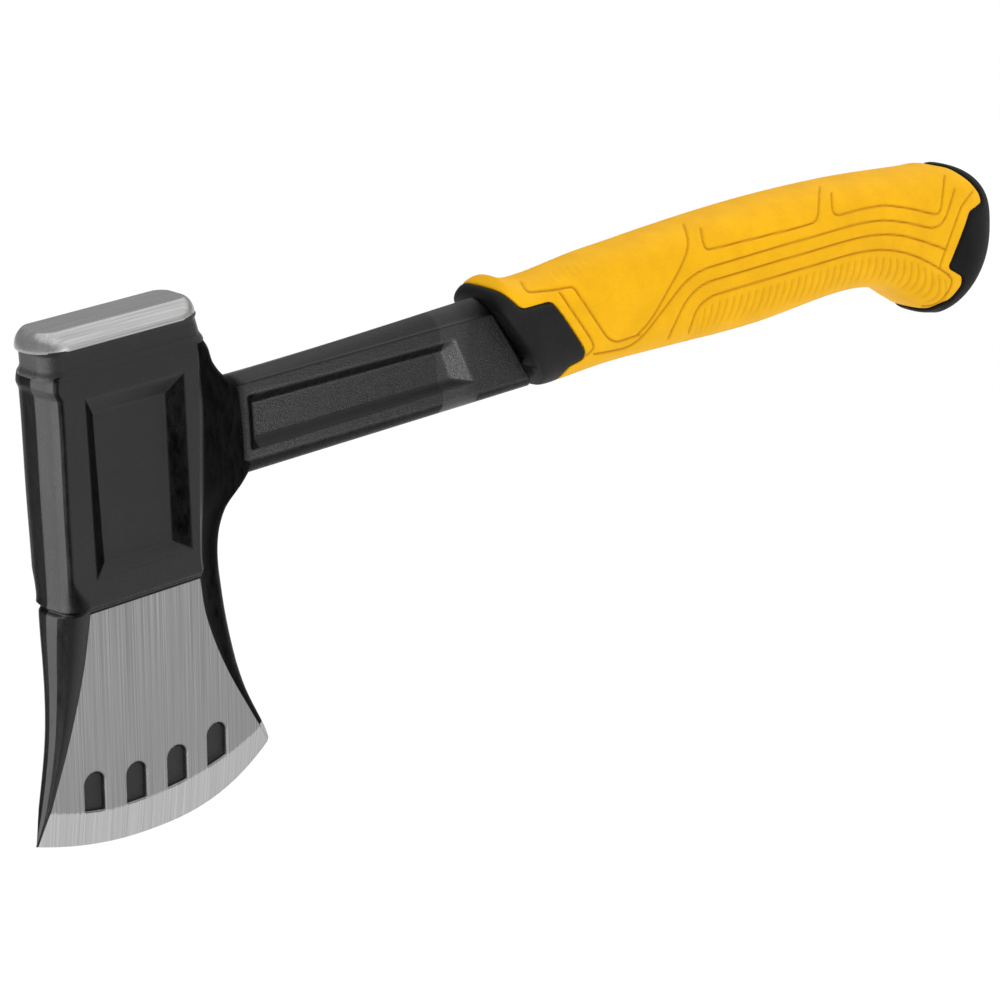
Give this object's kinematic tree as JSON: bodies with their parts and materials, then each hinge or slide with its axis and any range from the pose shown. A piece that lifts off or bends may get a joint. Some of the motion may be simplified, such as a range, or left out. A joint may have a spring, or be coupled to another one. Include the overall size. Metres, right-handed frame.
{
  "type": "hatchet",
  "caption": "One-piece forged hatchet with a flat poll, hollowed cheeks, slotted blade, I-section shank and a moulded yellow and black grip.",
  "frame": {"origin": "centre of the flat striking face on top of the poll", "axes": "+Z out of the striking face, away from the cutting edge; +X from the head to the butt of the grip; Y across the thickness, symmetric"},
  "size_m": [0.3524, 0.0264, 0.1373],
  "materials": {
    "coated_steel": "black coat on forged steel, with the poll rim and the blade ground bare",
    "core_polymer": "hidden rigid moulding",
    "black_polymer": "matte black, fine grain",
    "soft_sleeve": "matte yellow, fine pebble grain with moulded grooves",
    "cap_polymer": "matte black, fine grain"
  },
  "bodies": {
    "root": {"forged_head": "coated_steel", "grip_core": "core_polymer", "front_collar": "black_polymer", "grip_sleeve": "soft_sleeve", "butt_cap": "cap_polymer"}
  },
  "joints": []
}
